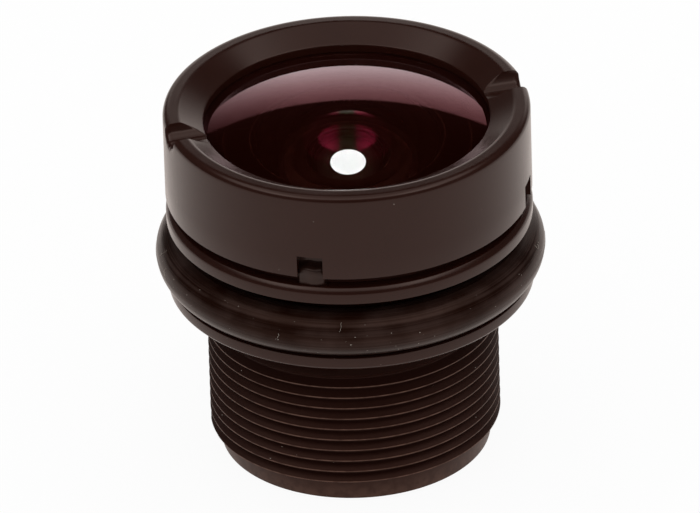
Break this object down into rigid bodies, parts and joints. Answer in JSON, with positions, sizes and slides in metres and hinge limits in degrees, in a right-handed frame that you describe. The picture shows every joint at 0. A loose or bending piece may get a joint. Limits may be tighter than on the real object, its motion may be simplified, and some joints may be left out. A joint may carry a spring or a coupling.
{
  "type": "m12 board camera lens",
  "caption": "Wide-angle board camera lens: threaded black barrel with flange and sealing O-ring, bevelled front cap and a large coated front element.",
  "frame": {"origin": "centre of the rear face of the barrel, on the optical axis", "axes": "+Z along the optical axis towards the scene; the cap's right-hand spanner notch lies near +X"},
  "size_m": [0.016, 0.016, 0.0154],
  "materials": {
    "black_anodised_aluminium": "matte black anodised, finely turned",
    "black_ring_anodised": "dull black anodised",
    "black_rubber": "moulded, semi-matt",
    "coated_glass": "polished, anti-reflection coated",
    "filter_glass": "polished flat filter",
    "clear_adhesive": "cured drop, dull"
  },
  "bodies": {
    "root": {"barrel": "black_anodised_aluminium", "front_cap": "black_anodised_aluminium", "mount_o_ring": "black_rubber", "lock_adhesive": "clear_adhesive", "front_seal_ring": "black_rubber", "front_element": "coated_glass", "front_spacer": "black_ring_anodised", "second_element": "coated_glass", "middle_spacer": "black_ring_anodised", "third_element": "coated_glass", "aperture_stop": "black_ring_anodised", "fourth_element": "coated_glass", "rear_spacer": "black_ring_anodised", "fifth_element": "coated_glass", "sixth_element": "coated_glass", "seventh_element": "coated_glass", "rear_retaining_ring": "black_ring_anodised", "infrared_filter": "filter_glass", "filter_ring": "black_ring_anodised"}
  },
  "joints": []
}
